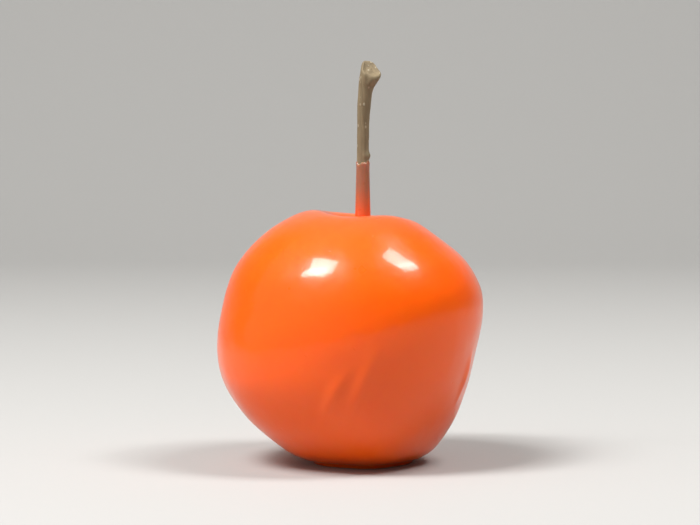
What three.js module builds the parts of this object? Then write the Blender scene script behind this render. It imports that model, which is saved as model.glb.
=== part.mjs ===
// A real apple dipped in wax, in three pieces: the waxed fruit, its woody stalk and its dried calyx.
// Millimetres, +Z up. The origin is on the surface the fruit stands on, under the middle of its outline.

import * as THREE from 'three';
import { mergeVertices } from 'three/addons/utils/BufferGeometryUtils.js';

// ---- Driving dimensions, millimetres ----
const FRUIT_WIDTH = 56.6;
const FRUIT_HEIGHT = 53.4; // surface to the crown of the shoulders
const CORE = { offset: 1.15, inner: 6, outer: 24 }; // both ends stand off-centre, fading out to the cheeks
const FOOT_INNER = 7.4; // the flat ring of wax the fruit rests on
const FOOT_OUTER = 10.4;
const BASIN_DEPTH = 6.4; // calyx end
const CAVITY_DEPTH = 7.6; // stalk end, below the crown
const CROWN_RADIUS = 9.5;
const SLEEVE_TOP = 65.3; // height the wax climbs to on the stalk
const SLEEVE_RADIUS = { foot: 1.95, top: 1.47 };
const STALK_TOP = 85.4;
const STALK_RADIUS = { buried: 1.15, bare: 1.32, tip: 2.05 };
const STALK_SOCKET_DEPTH = 2.6; // how far the stalk's foot sits below the cavity floor
const SEAT_GAP = 0.12; // between the stalk and the wax round it
const SEPAL = { tip: 2.1, root: 4.6, notch: 1.7, pinch: 0.16 }; // heights, notch height and narrowing

// ---- The fruit's unevenness ----
const CHEEK_TILT = 0.012; // rise of the +X cheek and fall of the -X cheek, per millimetre of X
const LOW_BULGE = { push: 2.6, top: 39 }; // the lower half swells towards -X, up to this height
const CROWN_TILT = -0.06; // the crown is higher on the -X side
const CALYX_LOBES = { count: 5, share: 0.035, reach: 24, turn: 0.6 };
const CHEEK_LOBES = { count: 2, share: 0.008, turn: 0.9 };
const SHOULDER_WAVE = { count: 3, height: 0.25, turn: 2.4, reach: 10 };

// ---- The stalk's course and its broken-off tip ----
const STALK_BOW = 0.9; // the middle bows towards +Y
const STALK_TIP_LEAN = 1.7; // the tip hooks towards +X
const SCAR_SLOPE = { x: -0.4, y: 0.8 }; // the end face looks up, to the right and to the front
const SCAR_RUN = 5; // length over which the slope of the end face fades out
const SCAR_DISH = 0.5;

// ---- Mesh fineness ----
const FRUIT_SEGMENTS = 48;
const CHEEK_STEPS = 34;
const STALK_SEGMENTS = 20;
const STALK_STEPS = 14;
const CALYX_SEGMENTS = 60;

const CAVITY_FLOOR = FRUIT_HEIGHT - CAVITY_DEPTH;
const SOCKET_FLOOR = CAVITY_FLOOR - STALK_SOCKET_DEPTH;
const STALK_FOOT = SOCKET_FLOOR + SEAT_GAP;
const { clamp, lerp, smoothstep } = THREE.MathUtils;

/** Points along a smooth curve through the given [radius, height] stations. */
function smoothRun(stations, steps) {
  const curve = new THREE.SplineCurve(stations.map(([r, z]) => new THREE.Vector2(r, z)));
  return curve.getSpacedPoints(steps);
}

/** Half of the fruit's section, from the middle of the calyx basin round to the foot of the stalk. */
function fruitProfile() {
  const radius = FRUIT_WIDTH / 2;
  const basin = smoothRun([[0, BASIN_DEPTH], [3.6, 5.9], [5.8, 3.2], [FOOT_INNER, 0]], 8);
  const cheek = smoothRun([
    [FOOT_OUTER, 0],
    [radius * 0.585, 3.6],
    [radius * 0.79, 10],
    [radius * 0.93, 17.5],
    [radius * 0.985, 24.5],
    [radius * 0.995, 31.5],
    [radius * 0.95, 38.5],
    [radius * 0.84, 44.4],
    [radius * 0.66, 49.4],
    [radius * 0.47, 52.6],
    [CROWN_RADIUS, FRUIT_HEIGHT],
    [6, FRUIT_HEIGHT - 1.6],
    [3.2, CAVITY_FLOOR + 1.6],
    [SLEEVE_RADIUS.foot, CAVITY_FLOOR + 3.2],
  ], CHEEK_STEPS);
  const socket = STALK_RADIUS.buried + SEAT_GAP;
  const sleeveOutside = smoothRun([
    [lerp(SLEEVE_RADIUS.foot, SLEEVE_RADIUS.top, 0.3), CAVITY_FLOOR + 6],
    [SLEEVE_RADIUS.top, SLEEVE_TOP],
  ], 5);
  const sleeveInside = smoothRun([[socket, SLEEVE_TOP], [socket, SOCKET_FLOOR]], 7);
  return [...basin, ...cheek, ...sleeveOutside, ...sleeveInside, new THREE.Vector2(0, SOCKET_FLOOR)];
}

/** How far the stalk's middle line stands off the fruit's own axis at a height. */
function stalkSway(z) {
  const t = clamp((z - STALK_FOOT) / (STALK_TOP - STALK_FOOT), 0, 1);
  return { x: STALK_TIP_LEAN * t ** 9, y: STALK_BOW * Math.sin(Math.PI * t) };
}

/** A lathed solid of the profile, standing on +Z, with one shared vertex at each corner. */
function lathed(profile, segments) {
  const geometry = new THREE.LatheGeometry(profile, segments);
  geometry.rotateX(Math.PI / 2);
  geometry.deleteAttribute('normal');
  geometry.deleteAttribute('uv');
  return mergeVertices(geometry, 1e-4);
}

/** Moves every vertex of a geometry to where the function puts it. */
function reshape(geometry, move) {
  const position = geometry.attributes.position;
  const point = new THREE.Vector3();
  for (let i = 0; i < position.count; i += 1) {
    point.fromBufferAttribute(position, i);
    move(point);
    position.setXYZ(i, point.x, point.y, point.z);
  }
  geometry.computeVertexNormals();
  return geometry;
}

/** Rises from 0 to 1 half way along and back to 0, level at both ends. */
function softHump(share) {
  const t = clamp(share, 0, 1);
  return 16 * (t * (1 - t)) ** 2;
}

/** Turns a round fruit into a grown one: lobes, uneven shoulders, tilted cheeks and a bowed sleeve. */
function growUneven(point) {
  const radius = Math.hypot(point.x, point.y);
  const angle = Math.atan2(point.y, point.x);
  const belly = Math.sin(Math.PI * clamp(point.z / FRUIT_HEIGHT, 0, 1));
  const body = smoothstep(radius, SLEEVE_RADIUS.foot, CROWN_RADIUS);
  const nearCalyx = 1 - smoothstep(point.z, 0, CALYX_LOBES.reach);
  const nearCrown = smoothstep(point.z, FRUIT_HEIGHT - SHOULDER_WAVE.reach, FRUIT_HEIGHT);
  const lobes = CALYX_LOBES.share * nearCalyx * Math.cos(CALYX_LOBES.count * angle + CALYX_LOBES.turn)
    + CHEEK_LOBES.share * belly * Math.cos(CHEEK_LOBES.count * angle + CHEEK_LOBES.turn);
  const sway = stalkSway(point.z);
  const wave = SHOULDER_WAVE.height * Math.cos(SHOULDER_WAVE.count * angle + SHOULDER_WAVE.turn);
  const rise = nearCrown * (wave + CROWN_TILT * point.x) + CHEEK_TILT * belly * point.x;
  const push = LOW_BULGE.push * softHump(point.z / LOW_BULGE.top);
  const core = CORE.offset * (1 - smoothstep(radius, CORE.inner, CORE.outer));
  point.x = point.x * (1 + body * lobes) + core - body * push + (1 - body) * sway.x;
  point.y = point.y * (1 + body * lobes) + (1 - body) * sway.y;
  point.z += body * rise;
}

/** Half of the stalk's section: thin in its socket, swelling above the wax, flared at its tip. */
function stalkProfile() {
  const { buried, bare, tip } = STALK_RADIUS;
  const length = STALK_TOP - STALK_FOOT;
  const below = smoothRun([[buried, STALK_FOOT], [buried, SLEEVE_TOP]], STALK_STEPS / 2);
  const above = smoothRun([
    [bare, SLEEVE_TOP + 0.8],
    [bare * 1.02, STALK_FOOT + length * 0.7],
    [bare * 1.16, STALK_FOOT + length * 0.87],
    [tip * 0.93, STALK_TOP - 2],
    [tip, STALK_TOP - 0.5],
  ], STALK_STEPS);
  const scar = [[tip * 0.9, STALK_TOP], [tip * 0.6, STALK_TOP - SCAR_DISH / 2], [0, STALK_TOP - SCAR_DISH]];
  return [
    new THREE.Vector2(0, STALK_FOOT),
    ...below,
    ...above,
    ...scar.map(([r, z]) => new THREE.Vector2(r, z)),
  ];
}

/** Bows the stalk and slopes its end face, where it parted from the twig. */
function growStalk(point) {
  const slope = smoothstep(point.z, STALK_TOP - SCAR_RUN, STALK_TOP - SCAR_DISH);
  const sway = stalkSway(point.z);
  point.z += slope * (SCAR_SLOPE.x * point.x + SCAR_SLOPE.y * point.y);
  point.x += CORE.offset + sway.x;
  point.y += sway.y;
}

/** Half of the calyx's section: a plug under the basin floor with a thin skirt of sepals. */
function calyxProfile() {
  const top = BASIN_DEPTH - SEAT_GAP * 3;
  const stations = [
    [0, 4.9], [1.2, 4.8], [1.9, 4.2], [2.5, 3.2], [3.1, SEPAL.tip], [3.5, SEPAL.tip],
    [3.1, 3.4], [2.8, SEPAL.root], [2.2, top - 0.3], [0, top],
  ];
  return stations.map(([r, z]) => new THREE.Vector2(r, z));
}

/** Cuts the skirt into five pointed sepals by drawing it up between them. */
function growSepals(point) {
  const angle = Math.atan2(point.y, point.x) + CALYX_LOBES.turn / CALYX_LOBES.count;
  const between = Math.abs(Math.sin((CALYX_LOBES.count / 2) * angle)) ** 1.5;
  const skirt = between * (1 - smoothstep(point.z, SEPAL.tip, SEPAL.root));
  point.x *= 1 - SEPAL.pinch * skirt;
  point.y *= 1 - SEPAL.pinch * skirt;
  point.z += SEPAL.notch * skirt;
  point.x += CORE.offset;
}

const wax = new THREE.MeshStandardMaterial({ name: 'wax', color: 0xf46a0e, roughness: 0.18, metalness: 0 });
const bark = new THREE.MeshStandardMaterial({ name: 'bark', color: 0x8a7a5e, roughness: 0.75, metalness: 0 });
const sepal = new THREE.MeshStandardMaterial({ name: 'sepal', color: 0x5a3a1c, roughness: 0.7, metalness: 0 });

/** One named piece. */
function piece(name, geometry, material) {
  const mesh = new THREE.Mesh(geometry, material);
  mesh.name = name;
  return mesh;
}

const fruit = piece('waxed_fruit', reshape(lathed(fruitProfile(), FRUIT_SEGMENTS), growUneven), wax);
const stem = piece('stem', reshape(lathed(stalkProfile(), STALK_SEGMENTS), growStalk), bark);
const calyx = piece('calyx', reshape(lathed(calyxProfile(), CALYX_SEGMENTS), growSepals), sepal);

const apple = new THREE.Group();
apple.name = 'wax_apple';
apple.add(fruit, stem, calyx);

const middle = new THREE.Box3().setFromObject(fruit).getCenter(new THREE.Vector3());
apple.position.set(-middle.x, -middle.y, 0);

export default apple;
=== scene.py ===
"""A small apple dipped in orange wax: its coat, its woody stalk and the dried calyx in its base.

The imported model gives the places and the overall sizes. The fruit and the stalk are half-profiles turned
round an upright axis by Geometry Nodes and then grown uneven; the calyx is leaves and stamens set on rings.
"""

import logging
import math
from collections.abc import Callable
from dataclasses import dataclass, field
from enum import Enum

import bmesh
import bpy
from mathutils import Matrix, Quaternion, Vector


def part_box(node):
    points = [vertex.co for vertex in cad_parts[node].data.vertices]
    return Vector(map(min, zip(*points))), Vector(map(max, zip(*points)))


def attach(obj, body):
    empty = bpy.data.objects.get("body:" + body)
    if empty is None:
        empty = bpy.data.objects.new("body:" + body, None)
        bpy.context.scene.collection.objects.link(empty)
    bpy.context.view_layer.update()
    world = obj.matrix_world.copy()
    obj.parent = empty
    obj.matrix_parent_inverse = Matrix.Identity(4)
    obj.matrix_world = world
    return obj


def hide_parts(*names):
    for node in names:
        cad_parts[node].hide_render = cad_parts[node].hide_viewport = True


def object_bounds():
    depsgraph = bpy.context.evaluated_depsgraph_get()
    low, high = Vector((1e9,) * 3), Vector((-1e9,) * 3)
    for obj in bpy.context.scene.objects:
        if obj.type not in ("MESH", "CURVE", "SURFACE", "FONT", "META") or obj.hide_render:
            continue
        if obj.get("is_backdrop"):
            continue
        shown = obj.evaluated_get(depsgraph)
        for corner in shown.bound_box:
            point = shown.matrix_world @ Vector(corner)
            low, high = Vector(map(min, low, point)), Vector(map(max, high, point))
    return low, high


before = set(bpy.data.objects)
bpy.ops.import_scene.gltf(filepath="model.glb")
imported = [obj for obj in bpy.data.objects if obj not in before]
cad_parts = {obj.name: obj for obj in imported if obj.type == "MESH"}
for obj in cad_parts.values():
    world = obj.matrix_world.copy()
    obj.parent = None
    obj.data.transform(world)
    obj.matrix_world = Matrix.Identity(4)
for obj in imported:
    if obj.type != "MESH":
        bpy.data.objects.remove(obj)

MM = 0.001
BODY = "root"
log = logging.getLogger("wax_apple")

Station = tuple[float, float]
Colour = tuple[float, float, float]


class Slot(Enum):
    """The record's material slots."""

    WAX = "wax"
    BARK = "bark"
    SEPAL = "sepal"


# ---------------------------------------------------------------- formulas inside node trees


@dataclass(frozen=True)
class Term:
    """A value in a node tree that can be added, multiplied and so on as in a formula."""

    maths: "Maths"
    socket: bpy.types.NodeSocket

    def __add__(self, other: "Term | float") -> "Term":
        """The sum."""
        return self.maths.do("ADD", self, other)

    def __radd__(self, other: float) -> "Term":
        """The sum, with the number first."""
        return self.maths.do("ADD", other, self)

    def __sub__(self, other: "Term | float") -> "Term":
        """The difference."""
        return self.maths.do("SUBTRACT", self, other)

    def __rsub__(self, other: float) -> "Term":
        """The difference, with the number first."""
        return self.maths.do("SUBTRACT", other, self)

    def __mul__(self, other: "Term | float") -> "Term":
        """The product."""
        return self.maths.do("MULTIPLY", self, other)

    def __rmul__(self, other: float) -> "Term":
        """The product, with the number first."""
        return self.maths.do("MULTIPLY", other, self)

    def __truediv__(self, other: "Term | float") -> "Term":
        """The quotient."""
        return self.maths.do("DIVIDE", self, other)

    def __pow__(self, other: float) -> "Term":
        """The power."""
        return self.maths.do("POWER", self, other)


class Maths:
    """Writes formulas as nodes in a geometry or shader tree."""

    def __init__(self, tree: bpy.types.NodeTree) -> None:
        """Keeps the tree that the nodes go into."""
        self.tree = tree

    def node(self, kind: str, **settings: object) -> bpy.types.Node:
        """Adds a node.

        Args:
            kind: The node's Blender type name.
            settings: Properties to set on it.

        Returns:
            The new node.
        """
        node = self.tree.nodes.new(kind)
        for name, value in settings.items():
            setattr(node, name, value)
        return node

    def feed(self, socket: bpy.types.NodeSocket, value: object) -> None:
        """Links a term or a socket to an input, or sets a plain value on it.

        Args:
            socket: The input.
            value: A Term, an output socket, a number or a tuple.
        """
        if isinstance(value, Term):
            value = value.socket
        if isinstance(value, bpy.types.NodeSocket):
            self.tree.links.new(value, socket)
        else:
            socket.default_value = value

    def do(self, operation: str, *values: "Term | float") -> Term:
        """One math node.

        Args:
            operation: Blender's name of the operation.
            values: Its inputs in order.

        Returns:
            The result.
        """
        node = self.node("ShaderNodeMath", operation=operation)
        for socket, value in zip(node.inputs, values):
            self.feed(socket, value)
        return Term(self, node.outputs[0])

    def sin(self, value: Term) -> Term:
        """The sine."""
        return self.do("SINE", value)

    def cos(self, value: Term) -> Term:
        """The cosine."""
        return self.do("COSINE", value)

    def clamped(self, value: Term) -> Term:
        """The value held between 0 and 1."""
        node = self.node("ShaderNodeClamp")
        self.feed(node.inputs["Value"], value)
        return Term(self, node.outputs[0])

    def ramp(self, value: Term, low: "Term | float", high: "Term | float", start: float = 0.0,
             end: float = 1.0) -> Term:
        """A smooth step between two values of the input.

        Args:
            value: The input.
            low: Where the step begins.
            high: Where it ends.
            start: The result below the step.
            end: The result above it.

        Returns:
            The stepped value.
        """
        node = self.node("ShaderNodeMapRange", interpolation_type="SMOOTHSTEP")
        for name, given in zip(("Value", "From Min", "From Max", "To Min", "To Max"),
                               (value, low, high, start, end)):
            self.feed(node.inputs[name], given)
        return Term(self, node.outputs["Result"])

    def hump(self, share: Term) -> Term:
        """Rises from 0 to 1 half way along the share and back to 0, level at both ends."""
        held = self.clamped(share)
        return ((held * (1.0 - held)) ** 2.0) * 16.0

    def vector(self, x: object, y: object, z: object) -> bpy.types.NodeSocket:
        """A vector from three numbers."""
        node = self.node("ShaderNodeCombineXYZ")
        for socket, value in zip(node.inputs, (x, y, z)):
            self.feed(socket, value)
        return node.outputs[0]

    def parts(self, vector: bpy.types.NodeSocket) -> tuple[Term, Term, Term]:
        """The three numbers of a vector."""
        node = self.node("ShaderNodeSeparateXYZ")
        self.feed(node.inputs[0], vector)
        return tuple(Term(self, socket) for socket in node.outputs)

    def noise(self, place: bpy.types.NodeSocket, scale: float, detail: float = 2.0,
              seed: "float | None" = None, warp: float = 0.0) -> Term:
        """Smooth noise between 0 and 1.

        Args:
            place: The coordinates.
            scale: Features per unit of the coordinates.
            detail: Finer octaves.
            seed: A fourth coordinate that picks another pattern, or None for plain 3-D noise.
            warp: Distortion.

        Returns:
            The noise.
        """
        node = self.node("ShaderNodeTexNoise", noise_dimensions="3D" if seed is None else "4D")
        self.feed(node.inputs["Vector"], place)
        if seed is not None:
            self.feed(node.inputs["W"], seed)
        node.inputs["Scale"].default_value = scale
        node.inputs["Detail"].default_value = detail
        node.inputs["Distortion"].default_value = warp
        return Term(self, node.outputs[0])


# ---------------------------------------------------------------- meshes


def smooth_run(stations: list[Station], steps: int) -> list[Station]:
    """Points on a smooth curve through stations.

    Args:
        stations: Radius and height of each station.
        steps: Points for each stretch between two stations.

    Returns:
        The points, with both ends.
    """
    ends = [stations[0], *stations, stations[-1]]
    run: list[Station] = []
    for before, start, end, after in zip(ends, ends[1:], ends[2:], ends[3:]):
        for step in range(steps):
            t = step / steps
            run.append(tuple(
                0.5 * (2 * b + (c - a) * t + (2 * a - 5 * b + 4 * c - d) * t * t
                       + (3 * b - a - 3 * c + d) * t ** 3)
                for a, b, c, d in zip(before, start, end, after)))
    return [*run, stations[-1]]


def line_object(name: str, points: list[Station]) -> bpy.types.Object:
    """A chain of edges in the XZ plane that carries a Geometry Nodes modifier.

    Args:
        name: The object's name.
        points: Radius and height of each corner, in metres.

    Returns:
        The linked object.
    """
    mesh = bpy.data.meshes.new(name)
    edges = [(i, i + 1) for i in range(len(points) - 1)]
    mesh.from_pydata([(r, 0.0, z) for r, z in points], edges, [])
    return mesh_object(name, mesh)


def mesh_object(name: str, mesh: bpy.types.Mesh) -> bpy.types.Object:
    """Links a mesh into the scene as an object at the origin."""
    made = bpy.data.objects.new(name, mesh)
    bpy.context.scene.collection.objects.link(made)
    return made


def face_outwards(mesh: bpy.types.Mesh) -> None:
    """Welds a closed mesh and turns its faces outwards.

    Args:
        mesh: The mesh, changed in place.
    """
    work = bmesh.new()
    work.from_mesh(mesh)
    bmesh.ops.remove_doubles(work, verts=work.verts, dist=1e-7)
    bmesh.ops.dissolve_degenerate(work, edges=work.edges, dist=1e-8)
    bmesh.ops.recalc_face_normals(work, faces=work.faces)
    if work.calc_volume(signed=True) < 0:
        bmesh.ops.reverse_faces(work, faces=work.faces)
    work.to_mesh(mesh)
    work.free()


def bake(carrier: bpy.types.Object, tree: bpy.types.NodeTree, values: dict[str, object],
         name: str) -> bpy.types.Object:
    """Runs a Geometry Nodes tree on an object and keeps the result as a plain mesh.

    Args:
        carrier: The object that gives the tree its input geometry. It is removed.
        tree: The tree.
        values: The tree's inputs by name.
        name: The finished object's name.

    Returns:
        The finished object, with no modifier.
    """
    modifier = carrier.modifiers.new("grow", "NODES")
    modifier.node_group = tree
    for item in tree.interface.items_tree:
        if item.item_type == "SOCKET" and item.in_out == "INPUT" and item.name in values:
            modifier[item.identifier] = values[item.name]
    evaluated = carrier.evaluated_get(bpy.context.evaluated_depsgraph_get())
    mesh = bpy.data.meshes.new_from_object(evaluated)
    mesh.name = name
    bpy.data.objects.remove(carrier)
    face_outwards(mesh)
    for polygon in mesh.polygons:
        polygon.use_smooth = True
    return mesh_object(name, mesh)


def shift(thing: bpy.types.Object, by: Vector) -> None:
    """Moves an object's mesh, leaving the object at the origin."""
    for vertex in thing.data.vertices:
        vertex.co += by
    thing.data.update()


class Tree:
    """A Geometry Nodes tree with named inputs."""

    def __init__(self, name: str, sizes: dict[str, float], counts: dict[str, int]) -> None:
        """Makes the tree's interface and its two ends.

        Args:
            name: The tree's name.
            sizes: Number inputs and their defaults.
            counts: Whole-number inputs and their defaults.
        """
        self.group = bpy.data.node_groups.new(name, "GeometryNodeTree")
        self.maths = Maths(self.group)
        face = self.group.interface
        face.new_socket("Geometry", in_out="INPUT", socket_type="NodeSocketGeometry")
        face.new_socket("Geometry", in_out="OUTPUT", socket_type="NodeSocketGeometry")
        for kind, given in (("NodeSocketFloat", sizes), ("NodeSocketInt", counts)):
            for label, value in given.items():
                face.new_socket(label, in_out="INPUT", socket_type=kind).default_value = value
        face.new_socket("Material", in_out="INPUT", socket_type="NodeSocketMaterial")
        self.start = self.maths.node("NodeGroupInput")
        self.values = {**sizes, **counts}

    def given(self, label: str) -> Term:
        """The input of this name."""
        return Term(self.maths, self.start.outputs[label])

    def finish(self, geometry: bpy.types.NodeSocket) -> None:
        """Closes the tree: real geometry, smooth shading, material, output.

        Args:
            geometry: What was built.
        """
        realize = self.maths.node("GeometryNodeRealizeInstances")
        smooth = self.maths.node("GeometryNodeSetShadeSmooth")
        dress = self.maths.node("GeometryNodeSetMaterial")
        end = self.maths.node("NodeGroupOutput")
        self.maths.feed(realize.inputs["Geometry"], geometry)
        self.maths.feed(smooth.inputs["Geometry"], realize.outputs["Geometry"])
        self.maths.feed(dress.inputs["Geometry"], smooth.outputs["Geometry"])
        self.maths.feed(dress.inputs["Material"], self.start.outputs["Material"])
        self.maths.feed(end.inputs["Geometry"], dress.outputs["Geometry"])


@dataclass(frozen=True)
class Polar:
    """Where a vertex of a turned solid is: its angle, radius and height."""

    angle: Term
    radius: Term
    height: Term


Warp = Callable[[Tree, Polar], bpy.types.NodeSocket]


def turned_tree(name: str, sizes: dict[str, float], counts: dict[str, int], warp: Warp,
                relief: Callable[[Tree], Term]) -> Tree:
    """A tree that turns a half-profile round +Z, warps the result and raises its relief.

    Args:
        name: The tree's name.
        sizes: Its number inputs.
        counts: Its whole-number inputs, with Rings and Segments among them.
        warp: Gives the place of each vertex of the turned solid.
        relief: Gives how far each vertex then moves along its normal.

    Returns:
        The tree.
    """
    tree = Tree(name, sizes, counts)
    maths = tree.maths
    line = maths.node("GeometryNodeMeshToCurve")
    maths.feed(line.inputs["Mesh"], tree.start.outputs["Geometry"])
    grid = maths.node("GeometryNodeMeshGrid")
    for label, value in (("Size X", 1.0), ("Size Y", 1.0), ("Vertices X", tree.given("Segments")),
                         ("Vertices Y", tree.given("Rings"))):
        maths.feed(grid.inputs[label], value)
    across, along, _ = maths.parts(maths.node("GeometryNodeInputPosition").outputs[0])
    sample = maths.node("GeometryNodeSampleCurve", mode="FACTOR", use_all_curves=True)
    maths.feed(sample.inputs["Curves"], line.outputs["Curve"])
    maths.feed(sample.inputs["Factor"], maths.clamped(along + 0.5))
    radius, _, height = maths.parts(sample.outputs["Position"])
    place = maths.node("GeometryNodeSetPosition")
    maths.feed(place.inputs["Geometry"], grid.outputs["Mesh"])
    maths.feed(place.inputs["Position"], warp(tree, Polar(across * (2 * math.pi), radius, height)))
    weld = maths.node("GeometryNodeMergeByDistance")
    maths.feed(weld.inputs["Geometry"], place.outputs["Geometry"])
    weld.inputs["Distance"].default_value = 1e-6
    emboss = maths.node("GeometryNodeSetPosition")
    lift = maths.node("ShaderNodeVectorMath", operation="SCALE")
    maths.feed(lift.inputs[0], maths.node("GeometryNodeInputNormal").outputs[0])
    maths.feed(lift.inputs["Scale"], relief(tree))
    maths.feed(emboss.inputs["Geometry"], weld.outputs["Geometry"])
    maths.feed(emboss.inputs["Offset"], lift.outputs[0])
    tree.finish(emboss.outputs["Geometry"])
    return tree


# ---------------------------------------------------------------- finishes


class Finish:
    """What every finish shares: a new material and its shader."""

    @staticmethod
    def start(name: str) -> tuple[bpy.types.Material, Maths, bpy.types.Node]:
        """A new node material.

        Args:
            name: The material's name.

        Returns:
            The material, the writer of its formulas and its main shader.
        """
        material = bpy.data.materials.new(name)
        material.use_nodes = True
        return material, Maths(material.node_tree), material.node_tree.nodes["Principled BSDF"]

    @staticmethod
    def blend(maths: Maths, share: Term, first: object, second: object) -> bpy.types.NodeSocket:
        """Mixes two colours by a share from 0 to 1."""
        node = maths.node("ShaderNodeMix", data_type="RGBA")
        maths.feed(node.inputs["Factor"], share)
        for label, colour in (("A", first), ("B", second)):
            socket = next(s for s in node.inputs if s.name == label and s.type == "RGBA")
            maths.feed(socket, (*colour, 1.0) if isinstance(colour, tuple) else colour)
        return next(s for s in node.outputs if s.type == "RGBA")

    @staticmethod
    def bump(maths: Maths, height: Term, depth: float, under: object = None) -> bpy.types.NodeSocket:
        """Turns a height into a surface direction.

        Args:
            maths: The writer of formulas.
            height: From 0 to 1.
            depth: What a height of 1 measures, in metres.
            under: A direction to add to, or None.

        Returns:
            The direction.
        """
        node = maths.node("ShaderNodeBump")
        node.inputs["Distance"].default_value = depth
        maths.feed(node.inputs["Height"], height)
        if under is not None:
            maths.feed(node.inputs["Normal"], under)
        return node.outputs["Normal"]


@dataclass(frozen=True)
class WaxFinish(Finish):
    """Glossy orange wax: clouded where it is thicker, thin and brownish over the stalk, with painted shade
    low down.
    """

    thin: Colour = (0.93, 0.110, 0.0005)
    # thick is the deeper tone of the clouds and also the painted shade towards the bottom of the fruit.
    thick: Colour = (0.91, 0.097, 0.0005)
    over_bark: Colour = (0.31, 0.125, 0.070)
    sleeve_foot: float = 48.0 * MM
    sleeve_top: float = 60.0 * MM
    fruit_height: float = 53.4 * MM

    def build(self) -> bpy.types.Material:
        """The material."""
        material, maths, shader = self.start("orange_wax")
        place = maths.node("ShaderNodeTexCoord").outputs["Object"]
        _, _, height = maths.parts(place)
        # Painted shade: the colour deepens from the lit top towards the bottom of the fruit.
        painted_bottom_shade = 1.0 - maths.ramp(height, 0.0, self.fruit_height)
        cloud = maths.noise(place, 55.0, 3.0, warp=0.6)
        mottle = maths.noise(place, 240.0, 2.0)
        share = maths.clamped(painted_bottom_shade * 0.4 + (cloud - 0.5) * 0.9 + (mottle - 0.5) * 0.25)
        body = self.blend(maths, share, self.thin, self.thick)
        streak = maths.noise(maths.vector(*self.stretched(maths, place)), 1.0, 2.0)
        climb = maths.ramp(height, self.sleeve_foot, self.sleeve_top + 2 * MM)
        bare = maths.clamped(climb * (0.75 + 0.5 * streak))
        maths.feed(shader.inputs["Base Color"], self.blend(maths, bare, body, self.over_bark))
        maths.feed(shader.inputs["Roughness"], 0.25 + 0.10 * mottle)
        ripple = self.bump(maths, maths.noise(place, 130.0, 2.0), 0.12 * MM)
        peel = self.bump(maths, maths.noise(place, 900.0, 2.0), 0.006 * MM, ripple)
        pits = self.bump(maths, self.pinholes(maths, place), 0.03 * MM, peel)
        maths.feed(shader.inputs["Normal"], pits)
        shader.inputs["IOR"].default_value = 1.44
        shader.inputs["Subsurface Weight"].default_value = 0.4
        shader.inputs["Subsurface Radius"].default_value = (1.0, 0.28, 0.06)
        shader.inputs["Subsurface Scale"].default_value = 3.0 * MM
        shader.inputs["Coat Weight"].default_value = 0.45
        shader.inputs["Coat Roughness"].default_value = 0.07
        shader.inputs["Coat IOR"].default_value = 1.42
        shader.inputs["Specular IOR Level"].default_value = 0.3
        return material

    @staticmethod
    def stretched(maths: Maths, place: bpy.types.NodeSocket) -> tuple[Term, Term, Term]:
        """Coordinates whose features run up and down the stalk."""
        x, y, z = maths.parts(place)
        return x * 1500.0, y * 1500.0, z * 160.0

    @staticmethod
    def pinholes(maths: Maths, place: bpy.types.NodeSocket) -> Term:
        """A height with a few tiny round pits where bubbles burst in the wax."""
        cells = maths.node("ShaderNodeTexVoronoi", feature="F1")
        maths.feed(cells.inputs["Vector"], place)
        cells.inputs["Scale"].default_value = 210.0
        return maths.ramp(Term(maths, cells.outputs["Distance"]), 0.03, 0.09)


@dataclass(frozen=True)
class BarkFinish(Finish):
    """Dried stalk: olive-grey, with lengthwise fibres and pale pores."""

    pale: Colour = (0.28, 0.215, 0.125)
    deep: Colour = (0.11, 0.078, 0.040)
    pore: Colour = (0.46, 0.40, 0.29)
    fibre_height: float = 0.12 * MM
    pore_height: float = 0.05 * MM

    def build(self) -> bpy.types.Material:
        """The material."""
        material, maths, shader = self.start("dry_bark")
        place = maths.node("ShaderNodeTexCoord").outputs["Object"]
        x, y, z = maths.parts(place)
        fibre = maths.noise(maths.vector(x * 1900.0, y * 1900.0, z * 130.0), 1.0, 3.0)
        patch = maths.noise(place, 190.0, 2.0)
        share = maths.clamped(fibre * 0.8 + patch * 0.6 - 0.15)
        wood = self.blend(maths, share, self.deep, self.pale)
        cells = maths.node("ShaderNodeTexVoronoi", feature="F1")
        maths.feed(cells.inputs["Vector"], maths.vector(x * 900.0, y * 900.0, z * 520.0))
        cells.inputs["Scale"].default_value = 1.0
        pore = maths.ramp(Term(maths, cells.outputs["Distance"]), 0.12, 0.24, 1.0, 0.0)
        spotted = self.blend(maths, pore * 0.55, wood, self.pore)
        maths.feed(shader.inputs["Base Color"], spotted)
        maths.feed(shader.inputs["Roughness"], 0.62 + 0.2 * fibre)
        ridges = self.bump(maths, fibre, self.fibre_height)
        maths.feed(shader.inputs["Normal"], self.bump(maths, pore, self.pore_height, ridges))
        shader.inputs["Specular IOR Level"].default_value = 0.35
        return material


@dataclass(frozen=True)
class SepalFinish(Finish):
    """Dead flower parts: dark brown, veined and slightly glazed by the dip."""

    dark: Colour = (0.075, 0.035, 0.014)
    warm: Colour = (0.30, 0.12, 0.03)

    def build(self) -> bpy.types.Material:
        """The material."""
        material, maths, shader = self.start("dried_sepal")
        place = maths.node("ShaderNodeTexCoord").outputs["Object"]
        vein = maths.noise(place, 1500.0, 3.0, warp=1.2)
        glaze = maths.noise(place, 380.0, 2.0)
        maths.feed(shader.inputs["Base Color"],
                   self.blend(maths, maths.clamped(vein * 0.7 + glaze * 0.5 - 0.1), self.dark, self.warm))
        maths.feed(shader.inputs["Roughness"], 0.75 - 0.35 * glaze)
        maths.feed(shader.inputs["Normal"], self.bump(maths, vein, 0.1 * MM))
        shader.inputs["Coat Weight"].default_value = 0.25
        shader.inputs["Coat Roughness"].default_value = 0.2
        return material


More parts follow.
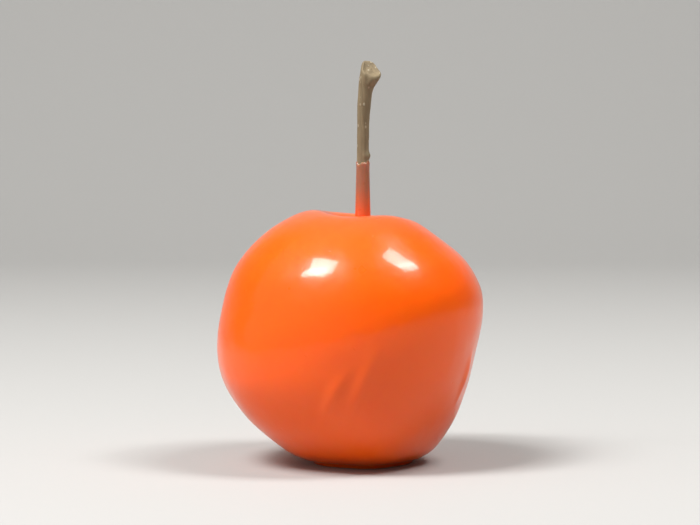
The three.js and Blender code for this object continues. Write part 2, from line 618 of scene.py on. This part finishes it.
@dataclass(frozen=True)
class FloorFinish(Finish):
    """Plain pale matt floor."""

    colour: Colour = (0.445, 0.438, 0.424)

    def build(self) -> bpy.types.Material:
        """The material."""
        material, maths, shader = self.start("pale_floor")
        place = maths.node("ShaderNodeTexCoord").outputs["Object"]
        grain = maths.noise(place, 900.0, 2.0)
        shade = tuple(0.97 * part for part in self.colour)
        maths.feed(shader.inputs["Base Color"], self.blend(maths, grain, shade, self.colour))
        shader.inputs["Roughness"].default_value = 0.75
        shader.inputs["Specular IOR Level"].default_value = 0.2
        return material


# ---------------------------------------------------------------- the apple's pieces


@dataclass
class Stalk:
    """The woody stalk: its course, its thickness and the slanting scar at its tip."""

    foot: float = 43.32 * MM
    top: float = 85.4 * MM
    wax_edge: float = 65.3 * MM
    bare: float = 1.31 * MM
    tip: float = 2.05 * MM
    bow: float = 0.9 * MM
    lean: float = 1.7 * MM
    hook: float = 9.0
    slope_x: float = -0.4
    slope_y: float = 0.8
    slope_run: float = 5.0 * MM
    dish: float = 0.5 * MM
    core_offset: float = 1.15 * MM
    rings: int = 230
    segments: int = 97
    seed: int = 11

    def sway(self, maths: Maths, height: Term) -> tuple[Term, Term]:
        """How far the stalk's middle line stands off the core at a height.

        Args:
            maths: The writer of formulas.
            height: The height.

        Returns:
            The offsets in X and Y.
        """
        t = maths.clamped((height - self.foot) / (self.top - self.foot))
        return (t ** self.hook) * self.lean, maths.sin(t * math.pi) * self.bow

    def profile(self) -> list[Station]:
        """Half of the stalk's section, from its foot to the middle of the scar."""
        length = self.top - self.foot
        side = smooth_run([
            (self.bare * 0.95, self.foot),
            (self.bare * 0.98, self.wax_edge),
            (self.bare * 1.02, self.foot + length * 0.7),
            (self.bare * 1.16, self.foot + length * 0.87),
            (self.tip * 0.93, self.top - 2 * MM),
            (self.tip, self.top - 0.6 * MM),
            (self.tip * 0.97, self.top - 0.15 * MM),
            (self.tip * 0.86, self.top),
            (self.tip * 0.7, self.top - 0.5 * self.dish),
            (self.tip * 0.4, self.top - self.dish),
            (self.tip * 0.2, self.top - 0.6 * self.dish),
            (0.0, self.top - 0.55 * self.dish),
        ], 10)
        return [(0.0, self.foot), *side]

    def warp(self, tree: Tree, at: Polar) -> bpy.types.NodeSocket:
        """Gives the stalk its bow, its knot above the wax and the slope of its scar."""
        maths = tree.maths
        near_tip = maths.ramp(at.height, self.top - self.slope_run, self.top - self.dish)
        rim = 1.0 + near_tip * (0.07 * maths.cos(at.angle * 3.0 + 0.8) + 0.05 * maths.cos(at.angle * 5.0))
        up = (at.height - tree.given("Knot Height")) / tree.given("Knot Size")
        round_it = maths.cos(at.angle + 0.35) - 1.0
        knot = maths.do("EXPONENT", round_it * 3.2 - up * up) * tree.given("Knot Rise")
        radius = at.radius * rim + knot
        x = radius * maths.cos(at.angle)
        y = radius * maths.sin(at.angle)
        slope = near_tip * (x * self.slope_x + y * self.slope_y)
        across, deep = self.sway(maths, at.height)
        return maths.vector(x + across + self.core_offset, y + deep, at.height + slope)

    def relief(self, tree: Tree) -> Term:
        """Lengthwise furrows, and small swellings along the stalk."""
        maths = tree.maths
        x, y, z = maths.parts(maths.node("GeometryNodeInputPosition").outputs[0])
        seed = tree.given("Seed") * 1.0
        furrow = maths.noise(maths.vector(x * 1150.0, y * 1150.0, z * 60.0), 1.0, 2.0, seed)
        swell = maths.noise(maths.vector(x * 90.0, y * 90.0, z * 210.0), 1.0, 1.0, seed + 3.0)
        low = maths.ramp(z, self.foot, self.foot + 4 * MM)
        return low * ((furrow - 0.5) * tree.given("Furrow Depth") + (swell - 0.5) * 0.22 * MM)

    def build(self, bark: bpy.types.Material) -> bpy.types.Object:
        """The finished stalk.

        Args:
            bark: Its material.

        Returns:
            The stalk, not yet moved to its place in the frame.
        """
        sizes = {"Furrow Depth": 0.30 * MM, "Knot Height": self.wax_edge + 1.3 * MM,
                 "Knot Size": 0.8 * MM, "Knot Rise": 0.38 * MM}
        counts = {"Rings": self.rings, "Segments": self.segments, "Seed": self.seed}
        tree = turned_tree("turned_stalk", sizes, counts, self.warp, self.relief)
        carrier = line_object("stalk_profile", self.profile())
        return bake(carrier, tree.group, {**tree.values, "Material": bark}, "stalk")


@dataclass(frozen=True)
class WaxRun:
    """A faint run of wax that set on its way down the cheek."""

    angle: float
    top: float
    length: float
    width: float
    drift: float


@dataclass(frozen=True)
class Swelling:
    """A place where the flesh stands out, or sinks in where its rise is below zero."""

    x: float
    y: float
    z: float
    reach: float
    rise: float

    def height(self, maths: Maths, place: tuple[Term, Term, Term]) -> Term:
        """How far it lifts the surface at a place.

        Args:
            maths: The writer of formulas.
            place: The place's X, Y and Z.

        Returns:
            The lift, in metres.
        """
        off_x, off_y, off_z = (at - middle for at, middle in zip(place, (self.x, self.y, self.z)))
        square = off_x * off_x + off_y * off_y + off_z * off_z
        return maths.do("EXPONENT", square / (-self.reach ** 2)) * self.rise


@dataclass
class WaxedFruit:
    """The apple in its coat: body, flat foot, stalk cavity and the sleeve of wax up the stalk."""

    stalk: Stalk
    width: float = 56.6 * MM
    height: float = 53.4 * MM
    core_offset: float = 1.15 * MM
    core_inner: float = 6 * MM
    core_outer: float = 24 * MM
    foot_inner: float = 7.4 * MM
    foot_outer: float = 10.4 * MM
    basin_depth: float = 6.4 * MM
    cavity_depth: float = 7.6 * MM
    crown_radius: float = 9.5 * MM
    sleeve_foot: float = 1.95 * MM
    sleeve_top: float = 1.45 * MM
    rings: int = 300
    segments: int = 257
    seed: int = 4
    runs: tuple[WaxRun, ...] = field(default=(
        WaxRun(-1.63, 25 * MM, 16 * MM, 1.5 * MM, 0.30),
        WaxRun(-1.42, 29 * MM, 19 * MM, 1.4 * MM, 0.26),
        WaxRun(-0.35, 27 * MM, 15 * MM, 1.4 * MM, 0.05),
        WaxRun(0.75, 36 * MM, 22 * MM, 1.6 * MM, -0.08),
        WaxRun(1.9, 30 * MM, 18 * MM, 1.3 * MM, 0.06),
        WaxRun(2.85, 33 * MM, 16 * MM, 1.5 * MM, -0.04),
    ))

    swellings: tuple[Swelling, ...] = field(default=(
        Swelling(-25 * MM, -2 * MM, 42 * MM, 13 * MM, 1.3 * MM),
        Swelling(24 * MM, -2 * MM, 46 * MM, 11 * MM, -0.8 * MM),
        Swelling(-7 * MM, 3 * MM, 53 * MM, 9 * MM, 0.7 * MM),
        Swelling(4 * MM, -9 * MM, 53 * MM, 9 * MM, 1.0 * MM),
        Swelling(4 * MM, 10 * MM, 53 * MM, 8 * MM, -0.5 * MM),
        Swelling(3 * MM, 24 * MM, 30 * MM, 14 * MM, 0.3 * MM),
    ))

    def profile(self) -> list[Station]:
        """Half of the fruit's section, from the calyx basin round to inside the stalk."""
        radius = self.width / 2
        floor = self.height - self.cavity_depth
        edge = self.stalk.wax_edge
        basin = smooth_run([
            (0.0, self.basin_depth), (3.6 * MM, 5.9 * MM), (5.8 * MM, 3.2 * MM),
            (self.foot_inner - 0.25 * MM, 0.4 * MM), (self.foot_inner + 0.1 * MM, 0.03 * MM),
        ], 12)
        lip = smooth_run([
            (self.foot_outer - 0.3 * MM, 0.0),
            (self.foot_outer + 0.15 * MM, 0.12 * MM),
            (self.foot_outer + 0.3 * MM, 0.5 * MM),
            (self.foot_outer + 0.7 * MM, 0.8 * MM),
            (radius * 0.46, 1.35 * MM),
        ], 6)
        body = smooth_run([
            (radius * 0.46, 1.35 * MM),
            (radius * 0.585, 3.6 * MM),
            (radius * 0.79, 10 * MM),
            (radius * 0.93, 17.5 * MM),
            (radius * 0.985, 24.5 * MM),
            (radius * 0.995, 31.5 * MM),
            (radius * 0.95, 38.5 * MM),
            (radius * 0.84, 44.4 * MM),
            (radius * 0.66, 49.4 * MM),
            (radius * 0.47, 52.6 * MM),
            (self.crown_radius, self.height),
            (6 * MM, self.height - 1.6 * MM),
            (3.2 * MM, floor + 1.6 * MM),
            (self.sleeve_foot, floor + 3.2 * MM),
            (self.sleeve_foot * 0.9, floor + 6 * MM),
            (self.sleeve_top * 1.05, edge - 5 * MM),
            (self.sleeve_top, edge - 1.4 * MM),
            (self.sleeve_top * 1.04, edge - 0.6 * MM),
            (self.sleeve_top * 0.98, edge - 0.12 * MM),
            (self.sleeve_top * 0.86, edge),
        ], 14)
        inside = [(self.stalk.bare * 0.7, edge - 0.4 * MM), (0.0, edge - 0.6 * MM)]
        return [*basin, *lip, *body[1:], *inside]

    def warp(self, tree: Tree, at: Polar) -> bpy.types.NodeSocket:
        """Turns a round fruit into a grown one: lobes, uneven shoulders, tilted cheeks, bowed sleeve."""
        maths = tree.maths
        height = self.height
        belly = maths.sin(maths.clamped(at.height / height) * math.pi)
        body = maths.ramp(at.radius, self.sleeve_foot, self.crown_radius)
        near_calyx = maths.ramp(at.height, 0.0, 24 * MM, 1.0, 0.0)
        near_crown = maths.ramp(at.height, height - 10 * MM, height)
        lobes = (tree.given("Calyx Lobes") * near_calyx * maths.cos(at.angle * 5.0 + 0.6)
                 + tree.given("Cheek Lobes") * belly * maths.cos(at.angle * 2.0 + 0.9))
        round_x = at.radius * maths.cos(at.angle)
        round_y = at.radius * maths.sin(at.angle)
        wave = tree.given("Shoulder Wave") * maths.cos(at.angle * 3.0 + 2.4)
        rise = (near_crown * (wave + tree.given("Crown Tilt") * round_x)
                + tree.given("Cheek Tilt") * belly * round_x)
        push = tree.given("Low Bulge") * maths.hump(at.height / (39 * MM))
        core = maths.ramp(at.radius, self.core_inner, self.core_outer, 1.0, 0.0) * self.core_offset
        across, deep = self.stalk.sway(maths, at.height)
        x = round_x * (1.0 + body * lobes) + core - body * push + (1.0 - body) * across
        y = round_y * (1.0 + body * lobes) + (1.0 - body) * deep
        return maths.vector(x, y, at.height + body * rise + self.ragged_edge(tree, at, body))

    def ragged_edge(self, tree: Tree, at: Polar, body: Term) -> Term:
        """How far the wax's edge on the stalk rises and falls round it."""
        maths = tree.maths
        near_edge = maths.ramp(at.height, self.stalk.wax_edge - 4 * MM, self.stalk.wax_edge)
        tongues = 0.6 * maths.cos(at.angle * 2.0 + 1.1) + 0.4 * maths.cos(at.angle * 5.0 + 2.0)
        return near_edge * (1.0 - body) * tongues * tree.given("Ragged Edge")

    def relief(self, tree: Tree) -> Term:
        """Slow swellings of the coat, and the runs that set on the cheeks."""
        maths = tree.maths
        place = maths.node("GeometryNodeInputPosition").outputs[0]
        x, y, z = maths.parts(place)
        seed = tree.given("Seed") * 1.0
        slow = maths.noise(place, 70.0, 1.0, seed) - 0.5
        fine = maths.noise(place, 210.0, 1.0, seed + 5.0) - 0.5
        out = maths.do("SQRT", x * x + y * y)
        uneven = slow * tree.given("Swell") + fine * tree.given("Ripple")
        ripple = uneven * maths.ramp(out, 3 * MM, 12 * MM)
        angle = maths.do("ARCTAN2", y, x)
        total = ripple
        for swelling in self.swellings:
            total = total + swelling.height(maths, (x, y, z)) * maths.ramp(out, 3 * MM, 9 * MM)
        for run in self.runs:
            along = maths.hump((run.top - z) / run.length)
            middle = angle - run.angle + (run.top - z) / run.length * run.drift
            off = middle * self.width / 2 / run.width
            total = total + along * maths.do("EXPONENT", off * off * -1.0) * tree.given("Run Height")
        return total * maths.ramp(z, 0.3 * MM, 3 * MM)

    def build(self, wax: bpy.types.Material) -> bpy.types.Object:
        """The finished fruit.

        Args:
            wax: Its material.

        Returns:
            The fruit, not yet moved to its place in the frame.
        """
        sizes = {"Calyx Lobes": 0.035, "Cheek Lobes": 0.008, "Shoulder Wave": 0.25 * MM,
                 "Crown Tilt": -0.06, "Cheek Tilt": 0.012, "Low Bulge": 2.6 * MM, "Ragged Edge": 0.45 * MM,
                 "Swell": 0.45 * MM, "Ripple": 0.14 * MM, "Run Height": 0.50 * MM}
        counts = {"Rings": self.rings, "Segments": self.segments, "Seed": self.seed}
        tree = turned_tree("turned_fruit", sizes, counts, self.warp, self.relief)
        carrier = line_object("fruit_profile", self.profile())
        return bake(carrier, tree.group, {**tree.values, "Material": wax}, "wax_coated_fruit")


def ring_tree(name: str, counts: dict[str, int], sizes: dict[str, float]) -> Tree:
    """A tree that sets copies of one member round a ring, each turned and sized a little differently.

    Args:
        name: The tree's name.
        counts: Count and Seed.
        sizes: Ring Radius, Radius Spread, Turn, Angle Spread, Lean Spread and Size Spread.

    Returns:
        The tree.
    """
    tree = Tree(name, sizes, counts)
    maths = tree.maths

    def scatter(spread: str, salt: int, middle: float = 0.0) -> Term:
        """A random number within a spread of the middle, the same on every run."""
        pick = maths.node("FunctionNodeRandomValue", data_type="FLOAT")
        maths.feed(pick.inputs["Seed"], tree.given("Seed") + float(salt))
        value = next(s for s in pick.outputs if s.type == "VALUE" and s.enabled)
        return (Term(maths, value) * 2.0 - 1.0) * tree.given(spread) + middle

    points = maths.node("GeometryNodePoints")
    maths.feed(points.inputs["Count"], tree.given("Count"))
    index = Term(maths, maths.node("GeometryNodeInputIndex").outputs[0])
    angle = index / tree.given("Count") * (2 * math.pi) + tree.given("Turn") + scatter("Angle Spread", 1)
    radius = tree.given("Ring Radius") + scatter("Radius Spread", 2)
    maths.feed(points.inputs["Position"],
               maths.vector(radius * maths.cos(angle), radius * maths.sin(angle), 0.0))
    place = maths.node("GeometryNodeInstanceOnPoints")
    maths.feed(place.inputs["Points"], points.outputs[0])
    maths.feed(place.inputs["Instance"], tree.start.outputs["Geometry"])
    turn = maths.node("FunctionNodeEulerToRotation")
    maths.feed(turn.inputs[0], maths.vector(scatter("Lean Spread", 3), scatter("Lean Spread", 4), angle))
    maths.feed(place.inputs["Rotation"], turn.outputs[0])
    size = scatter("Size Spread", 5, 1.0)
    maths.feed(place.inputs["Scale"], maths.vector(size, size, size))
    tree.finish(place.outputs["Instances"])
    return tree


@dataclass
class Calyx:
    """What is left of the flower: a cup, five curled sepals and a tuft of stamens."""

    centre: Vector
    top: float = 6.0 * MM
    cup_radius: float = 2.3 * MM
    sepal_length: float = 4.2 * MM
    sepal_width: float = 2.7 * MM
    sepal_rows: int = 14
    sepal_columns: int = 8
    thickness: float = 0.22 * MM

    def sepal(self) -> bpy.types.Object:
        """One sepal that hangs from the cup's edge and curls outwards, tapering to a point."""
        work = bmesh.new()
        rows = []
        for i in range(self.sepal_rows + 1):
            t = i / self.sepal_rows
            half = 0.5 * self.sepal_width * (math.cos(t * math.pi / 2) ** 0.8) * (1 - 0.15 * t)
            out = 0.9 * MM * math.sin(t * 2.6) + 0.5 * MM * t * t
            down = self.sepal_length * (0.62 * math.sin(t * 1.9))
            row = []
            for j in range(self.sepal_columns + 1):
                s = 2 * j / self.sepal_columns - 1
                cup = 0.28 * MM * s * s * (1 - t) + 0.1 * MM * math.sin(5 * t + 3 * s)
                row.append(work.verts.new((out - cup, s * max(half, 0.02 * MM), -down)))
            rows.append(row)
        for low, high in zip(rows, rows[1:]):
            for j in range(self.sepal_columns):
                work.faces.new((low[j], low[j + 1], high[j + 1], high[j]))
        bmesh.ops.recalc_face_normals(work, faces=work.faces)
        bmesh.ops.solidify(work, geom=work.faces[:], thickness=self.thickness)
        mesh = bpy.data.meshes.new("sepal")
        work.to_mesh(mesh)
        work.free()
        return mesh_object("sepal", mesh)

    def stamen(self) -> bpy.types.Object:
        """One withered stamen: a bent thread with a small head."""
        work = bmesh.new()
        sides, steps, length = 6, 9, 2.6 * MM
        rings = []
        for i in range(steps + 1):
            t = i / steps
            head = math.exp(-((t - 0.88) / 0.09) ** 2)
            thick = (0.11 * (1 - 0.5 * t) + 0.17 * head) * MM
            bend = 0.7 * MM * t * t
            rings.append([work.verts.new((bend + thick * math.cos(a), thick * math.sin(a), -length * t))
                          for a in (2 * math.pi * k / sides for k in range(sides))])
        for low, high in zip(rings, rings[1:]):
            for k in range(sides):
                work.faces.new((low[k], low[(k + 1) % sides], high[(k + 1) % sides], high[k]))
        work.faces.new(rings[0])
        work.faces.new(rings[-1])
        bmesh.ops.recalc_face_normals(work, faces=work.faces)
        mesh = bpy.data.meshes.new("stamen")
        work.to_mesh(mesh)
        work.free()
        return mesh_object("stamen", mesh)

    def cup(self, finish: bpy.types.Material) -> bpy.types.Object:
        """The hollow that the sepals and stamens stand in."""
        profile = smooth_run([
            (0.0, self.top + 0.2 * MM),
            (self.cup_radius * 1.05, self.top),
            (self.cup_radius * 1.1, self.top - 0.9 * MM),
            (self.cup_radius, self.top - 1.5 * MM),
            (self.cup_radius * 0.84, self.top - 1.2 * MM),
            (self.cup_radius * 0.6, self.top - 0.6 * MM),
            (0.0, self.top - 0.4 * MM),
        ], 8)

        def warp(tree: Tree, at: Polar) -> bpy.types.NodeSocket:
            """Five shallow lobes under the sepals."""
            maths = tree.maths
            radius = at.radius * (1.0 + tree.given("Lobes") * maths.cos(at.angle * 5.0))
            return maths.vector(radius * maths.cos(at.angle), radius * maths.sin(at.angle), at.height)

        def relief(tree: Tree) -> Term:
            """A withered, pitted surface."""
            place = tree.maths.node("GeometryNodeInputPosition").outputs[0]
            return (tree.maths.noise(place, 1400.0, 2.0, 2.0) - 0.5) * tree.given("Pitting")

        tree = turned_tree("turned_cup", {"Lobes": 0.06, "Pitting": 0.25 * MM},
                           {"Rings": 60, "Segments": 81}, warp, relief)
        carrier = line_object("cup_profile", profile)
        return bake(carrier, tree.group, {**tree.values, "Material": finish}, "calyx_cup")

    def build(self, finish: bpy.types.Material) -> list[bpy.types.Object]:
        """The calyx's pieces in their place.

        Args:
            finish: Their material.

        Returns:
            The cup, the sepals and the stamens.
        """
        sepals = ring_tree("sepals_on_a_ring", {"Count": 5, "Seed": 3}, {
            "Ring Radius": self.cup_radius * 0.92, "Radius Spread": 0.12 * MM, "Turn": -0.12,
            "Angle Spread": 0.08, "Lean Spread": 0.12, "Size Spread": 0.08})
        stamens = ring_tree("stamens_on_a_ring", {"Count": 16, "Seed": 8}, {
            "Ring Radius": self.cup_radius * 0.5, "Radius Spread": 0.5 * MM, "Turn": 0.3,
            "Angle Spread": 0.25, "Lean Spread": 0.3, "Size Spread": 0.15})
        cup = self.cup(finish)
        leaves = bake(self.sepal(), sepals.group, {**sepals.values, "Material": finish}, "sepals")
        threads = bake(self.stamen(), stamens.group, {**stamens.values, "Material": finish}, "stamens")
        shift(cup, Vector((self.centre.x, self.centre.y, 0.0)))
        shift(leaves, Vector((self.centre.x, self.centre.y, self.top - 1.0 * MM)))
        shift(threads, Vector((self.centre.x, self.centre.y, self.top - 0.6 * MM)))
        return [cup, leaves, threads]


# ---------------------------------------------------------------- the studio


@dataclass(frozen=True)
class SoftBox:
    """A rectangular lamp that faces the fruit, turned about its own axis by an angle."""

    name: str
    direction: tuple[float, float, float]
    distance: float
    width: float
    depth: float
    turn: float
    power: float


@dataclass
class Studio:
    """Pale floor, two softboxes overhead, each with a narrow wing, a dim room and the camera."""

    low: Vector
    high: Vector
    elevation: float = math.radians(4.5)
    distance: float = 0.615
    lens: float = 146.0
    room_left: float = 0.55
    room_right: float = 0.08
    room_colour: tuple[float, float, float, float] = (1.0, 0.98, 0.94, 1.0)
    floor_half_width: float = 4.0
    floor_back: float = 0.55
    sweep_radius: float = 0.4
    sweep_steps: int = 12
    wall_height: float = 2.0
    boxes: tuple[SoftBox, ...] = field(default=(
        SoftBox("left_softbox", (-0.40, -0.27, 0.87), 0.9, 0.30, 0.29, math.radians(24), 7.4),
        SoftBox("left_wing", (-0.56, -0.34, 0.79), 0.9, 0.32, 0.13, math.radians(30), 3.6),
        SoftBox("right_softbox", (0.43, -0.09, 0.90), 0.9, 0.24, 0.29, math.radians(-4), 4.4),
        SoftBox("right_wing", (0.57, -0.15, 0.82), 0.9, 0.24, 0.13, math.radians(-10), 2.2),
    ))

    def middle(self) -> Vector:
        """The middle of the object."""
        return (self.low + self.high) / 2

    def camera(self) -> bpy.types.Object:
        """The camera, slightly above the middle of the object and looking down at it."""
        data = bpy.data.cameras.new("camera")
        data.lens = self.lens
        data.clip_start = 0.01
        camera = bpy.data.objects.new("camera", data)
        bpy.context.scene.collection.objects.link(camera)
        away = Vector((0.0, -math.cos(self.elevation), math.sin(self.elevation)))
        camera.location = self.middle() + away * self.distance
        camera.rotation_euler = (-away).to_track_quat("-Z", "Y").to_euler()
        bpy.context.scene.camera = camera
        return camera

    def lights(self) -> None:
        """The softboxes and the room's dim light."""
        for box in self.boxes:
            data = bpy.data.lights.new(box.name, "AREA")
            data.shape = "RECTANGLE"
            data.size, data.size_y = box.width, box.depth
            data.energy = box.power
            lamp = bpy.data.objects.new(box.name, data)
            bpy.context.scene.collection.objects.link(lamp)
            towards = Vector(box.direction).normalized()
            lamp.location = self.middle() + towards * box.distance
            facing = towards.to_track_quat("Z", "Y") @ Quaternion((0.0, 0.0, 1.0), box.turn)
            lamp.rotation_euler = facing.to_euler()
        world = bpy.data.worlds.new("room")
        world.use_nodes = True
        maths = Maths(world.node_tree)
        sideways, _, _ = maths.parts(maths.node("ShaderNodeTexCoord").outputs["Generated"])
        backdrop = world.node_tree.nodes["Background"]
        backdrop.inputs["Color"].default_value = self.room_colour
        strength = maths.ramp(sideways, -0.9, 0.7, self.room_left, self.room_right)
        maths.feed(backdrop.inputs["Strength"], strength)
        bpy.context.scene.world = world

    def floor(self) -> None:
        """The floor, which runs up behind the object in one sweep."""
        half, back, rise = self.floor_half_width, self.floor_back, self.sweep_radius
        path = [(-half, 0.0), (back, 0.0)]
        path += [(back + rise * math.sin(t), rise * (1 - math.cos(t)))
                 for t in (math.pi / 2 * k / self.sweep_steps for k in range(1, self.sweep_steps + 1))]
        path.append((back + rise, self.wall_height))
        verts = [(x, y, z) for y, z in path for x in (-half, half)]
        faces = [(2 * i, 2 * i + 1, 2 * i + 3, 2 * i + 2) for i in range(len(path) - 1)]
        mesh = bpy.data.meshes.new("floor")
        mesh.from_pydata(verts, [], faces)
        mesh.materials.append(FloorFinish().build())
        for polygon in mesh.polygons:
            polygon.use_smooth = True
        mesh_object("floor", mesh)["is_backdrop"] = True

    def build(self) -> None:
        """Everything that isn't the object."""
        self.camera()
        self.lights()
        self.floor()
        bpy.context.scene.view_settings.view_transform = "Standard"


# ---------------------------------------------------------------- putting it together


def middle_of(thing: bpy.types.Object) -> Vector:
    """The middle of an object's box, on the floor."""
    corners = [vertex.co for vertex in thing.data.vertices]
    spans = [(min(c[k] for c in corners), max(c[k] for c in corners)) for k in range(2)]
    return Vector((sum(spans[0]) / 2, sum(spans[1]) / 2, 0.0))


def place_piece(piece: bpy.types.Object, slot: Slot, node: "str | None" = None) -> None:
    """Ties a finished piece to the frame and reports it.

    Args:
        piece: The piece.
        slot: The record's slot, which is only named in the log line.
        node: The CAD node that it stands for, if it stands for one.
    """
    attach(piece, BODY)
    if node:
        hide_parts(node)
    log.info("%s: %d faces, slot %s", piece.name, len(piece.data.polygons), slot.value)


def main() -> None:
    """Builds the apple and its studio."""
    logging.basicConfig(level=logging.INFO, format="%(name)s: %(message)s")
    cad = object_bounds()
    low, high = (Vector(corner) for corner in cad)
    Studio(low, high).build()
    stalk = Stalk()
    fruit = WaxedFruit(stalk)
    wax, bark, dead = WaxFinish().build(), BarkFinish().build(), SepalFinish().build()
    coated = fruit.build(wax)
    wood = stalk.build(bark)
    node_low, node_high = (Vector(corner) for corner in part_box("waxed_fruit"))
    home = (node_low + node_high) / 2
    home.z = 0.0
    move = home - middle_of(coated)
    shift(coated, move)
    shift(wood, move)
    core = Vector((fruit.core_offset, 0.0, 0.0)) + move
    cup, sepals, stamens = Calyx(core).build(dead)
    place_piece(coated, Slot.WAX, "waxed_fruit")
    place_piece(wood, Slot.BARK, "stem")
    place_piece(cup, Slot.SEPAL, "calyx")
    place_piece(sepals, Slot.SEPAL)
    place_piece(stamens, Slot.SEPAL)


if __name__ == "__main__":
    main()
